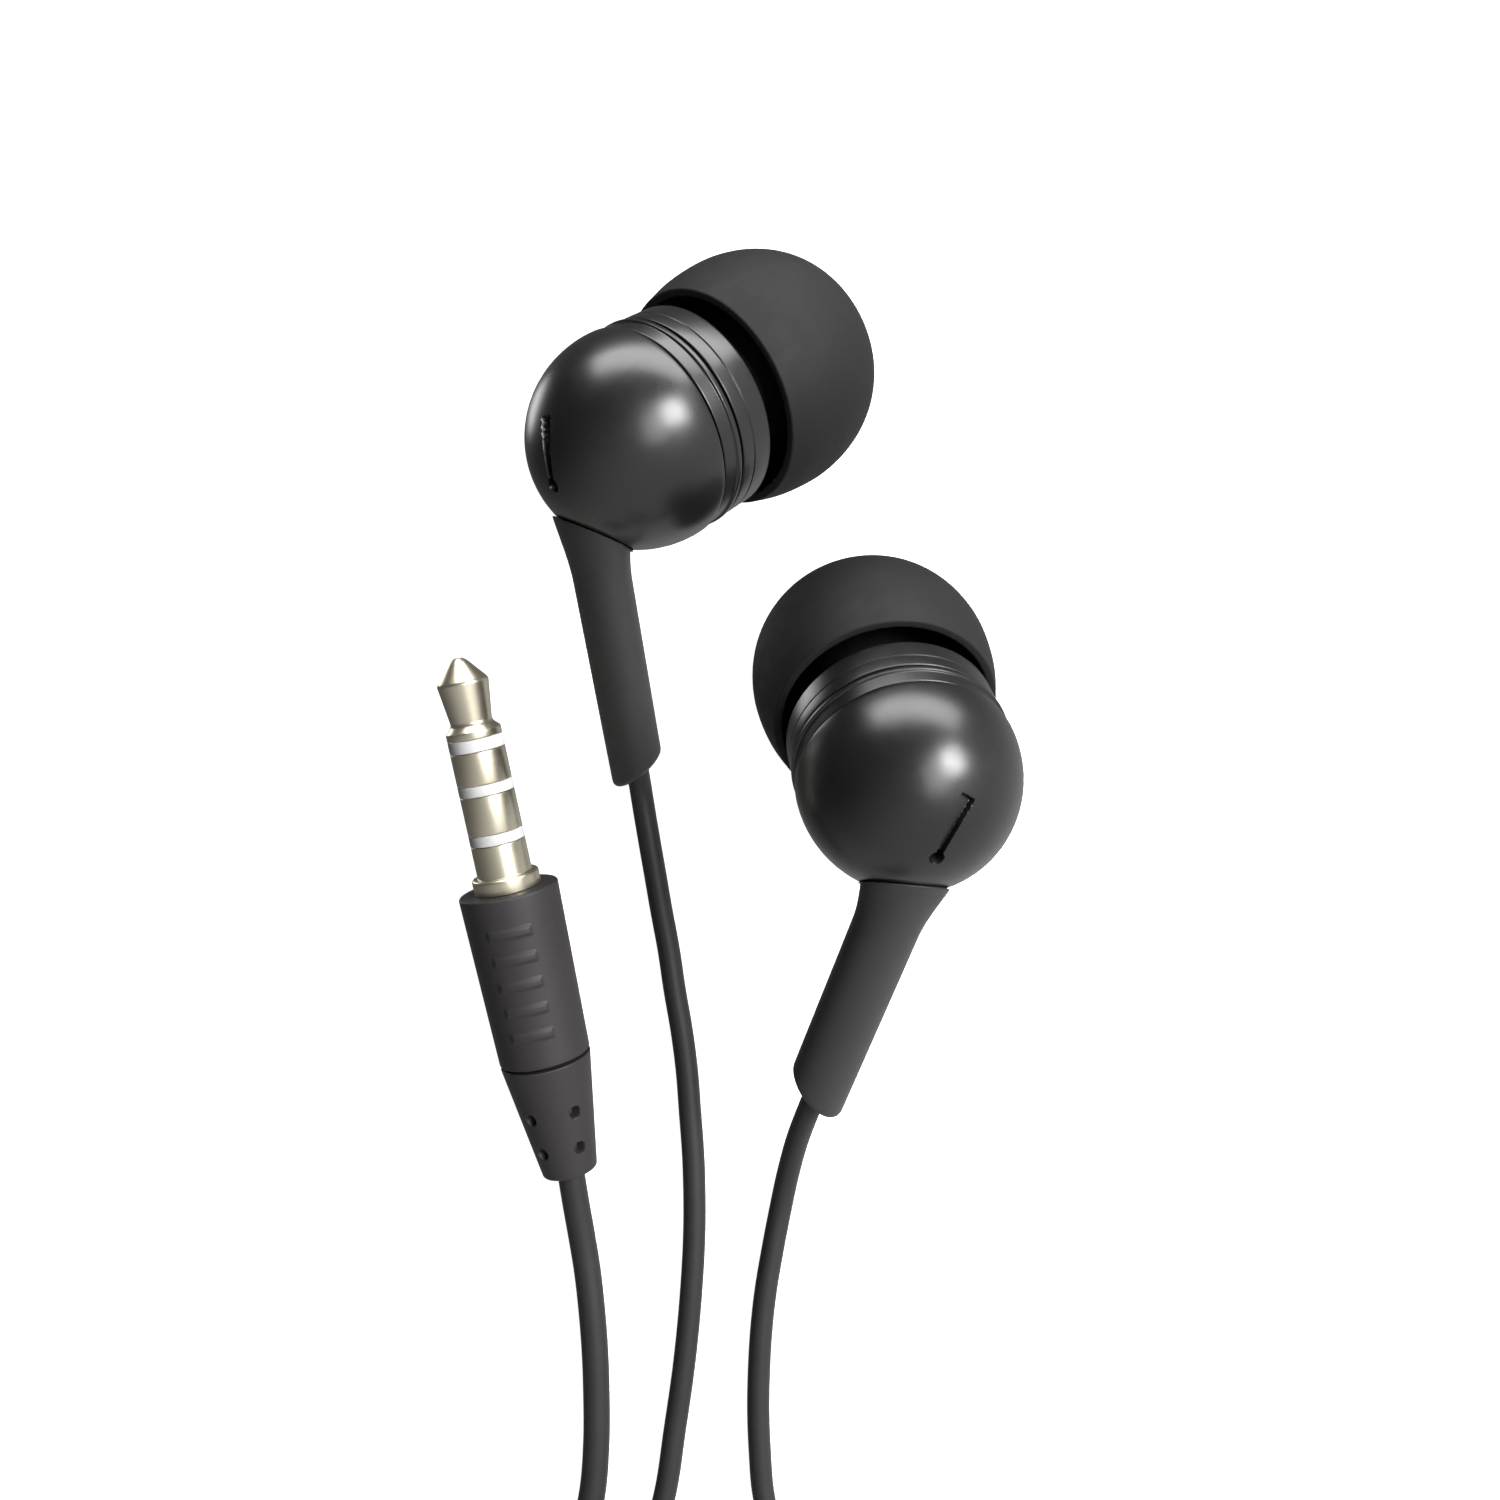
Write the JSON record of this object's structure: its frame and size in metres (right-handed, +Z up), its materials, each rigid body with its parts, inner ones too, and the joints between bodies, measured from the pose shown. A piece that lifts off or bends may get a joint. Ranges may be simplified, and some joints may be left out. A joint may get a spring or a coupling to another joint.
{
  "type": "wired earphones",
  "caption": "In-ear earphones lying on a table, with silicone tips, slim stems, an in-line microphone remote and a jack plug, the spare cord wound in coils.",
  "frame": {"origin": "on the table, at the centre of the two earbuds' outline", "axes": "+Z up from the table, +Y from the stems towards the upper earbud, +X to the other earbud's side"},
  "size_m": [0.0351, 0.1855, 0.0217],
  "materials": {
    "gloss_shell": "smooth moulded ABS, semi-gloss black",
    "silicone": "matte silicone",
    "cord_jacket": "matte soft TPE",
    "remote_shell": "fine-textured ABS",
    "plug_contact": "nickel-plated brass, turned and polished",
    "plug_insulator": "white acetal",
    "driver_plastic": "moulded",
    "driver_steel": "plated steel",
    "copper_wire": "enamelled copper",
    "diaphragm_film": "clear polyester film",
    "circuit_board": "solder-masked laminate"
  },
  "bodies": {
    "set": {"left_rear_shell": "gloss_shell", "left_trim_ring": "gloss_shell", "left_front_housing": "gloss_shell", "left_nozzle_mesh": "driver_steel", "left_strain_relief": "cord_jacket", "left_driver_frame": "driver_plastic", "left_yoke": "driver_steel", "left_magnet": "driver_steel", "left_top_plate": "driver_steel", "left_terminal_board": "circuit_board", "left_cord_knot": "cord_jacket", "right_rear_shell": "gloss_shell", "right_trim_ring": "gloss_shell", "right_front_housing": "gloss_shell", "right_nozzle_mesh": "driver_steel", "right_strain_relief": "cord_jacket", "right_driver_frame": "driver_plastic", "right_yoke": "driver_steel", "right_magnet": "driver_steel", "right_top_plate": "driver_steel", "right_terminal_board": "circuit_board", "right_cord_knot": "cord_jacket", "plug_sleeve": "plug_contact", "plug_insulator_1": "plug_insulator", "plug_ring_1": "plug_contact", "plug_insulator_2": "plug_insulator", "plug_ring_2": "plug_contact", "plug_insulator_3": "plug_insulator", "plug_tip": "plug_contact", "plug_boot": "cord_jacket", "plug_strain_relief": "cord_jacket", "remote_back_shell": "remote_shell", "remote_front_shell": "remote_shell", "remote_circuit_board": "circuit_board", "remote_switch": "driver_steel", "remote_microphone": "driver_steel", "left_cord": "cord_jacket", "left_coil": "cord_jacket", "left_cord_lower": "cord_jacket", "right_cord": "cord_jacket", "right_coil": "cord_jacket", "right_cord_lower": "cord_jacket", "trunk_cord": "cord_jacket", "trunk_coil": "cord_jacket", "trunk_cord_upper": "cord_jacket"},
    "left_tip": {"left_ear_tip": "silicone"},
    "left_cone": {"left_diaphragm": "diaphragm_film", "left_voice_coil": "copper_wire"},
    "right_tip": {"right_ear_tip": "silicone"},
    "right_cone": {"right_diaphragm": "diaphragm_film", "right_voice_coil": "copper_wire"},
    "button": {"remote_button": "gloss_shell"}
  },
  "joints": [
    {"name": "left_tip_pull", "type": "slide", "parent": "set", "child": "left_tip", "axis": [0.6728, 0.5038, -0.5418], "range_m": [0, 0.007]},
    {"name": "right_tip_pull", "type": "slide", "parent": "set", "child": "right_tip", "axis": [-0.1449, 0.6168, -0.7737], "range_m": [0, 0.007]},
    {"name": "left_cone_stroke", "type": "slide", "parent": "set", "child": "left_cone", "axis": [0.6728, 0.5038, -0.5418], "range_m": [-0.00015, 0.00015], "stiffness_N_per_m": 400},
    {"name": "right_cone_stroke", "type": "slide", "parent": "set", "child": "right_cone", "axis": [-0.1449, 0.6168, -0.7737], "range_m": [-0.00015, 0.00015], "stiffness_N_per_m": 400},
    {"name": "button_press", "type": "slide", "parent": "set", "child": "button", "axis": [0, 0, -1], "range_m": [0, 0.00025], "stiffness_N_per_m": 2000}
  ]
}
